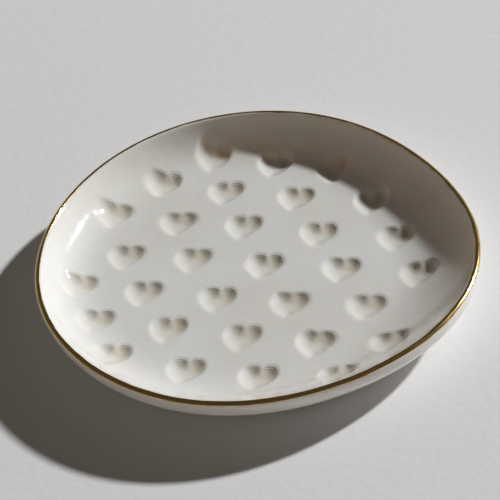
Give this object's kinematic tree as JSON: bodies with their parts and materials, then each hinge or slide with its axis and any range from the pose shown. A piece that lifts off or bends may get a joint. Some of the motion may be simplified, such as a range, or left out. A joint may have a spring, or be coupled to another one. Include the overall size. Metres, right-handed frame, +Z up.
{
  "type": "ring dish",
  "caption": "Small shallow white porcelain dish, uneven oval outline, gilded lip, hearts pressed into the floor, low foot ring; holds rings and other small things.",
  "frame": {"origin": "on the table, under the middle of the dish's outline", "axes": "+Z up out of the dish, +X along the rows of hearts, +Y towards the rounded tops of the hearts"},
  "size_m": [0.1106, 0.1072, 0.012],
  "materials": {
    "glazed_porcelain": "glossy clear glaze over warm white porcelain",
    "gold_lustre": "bright fired gold lustre, brushed on by hand",
    "bare_clay": "matt unglazed fired porcelain"
  },
  "bodies": {
    "root": {"dish_body": "glazed_porcelain", "gilt_rim": "gold_lustre", "foot_ring": "bare_clay"}
  },
  "joints": []
}
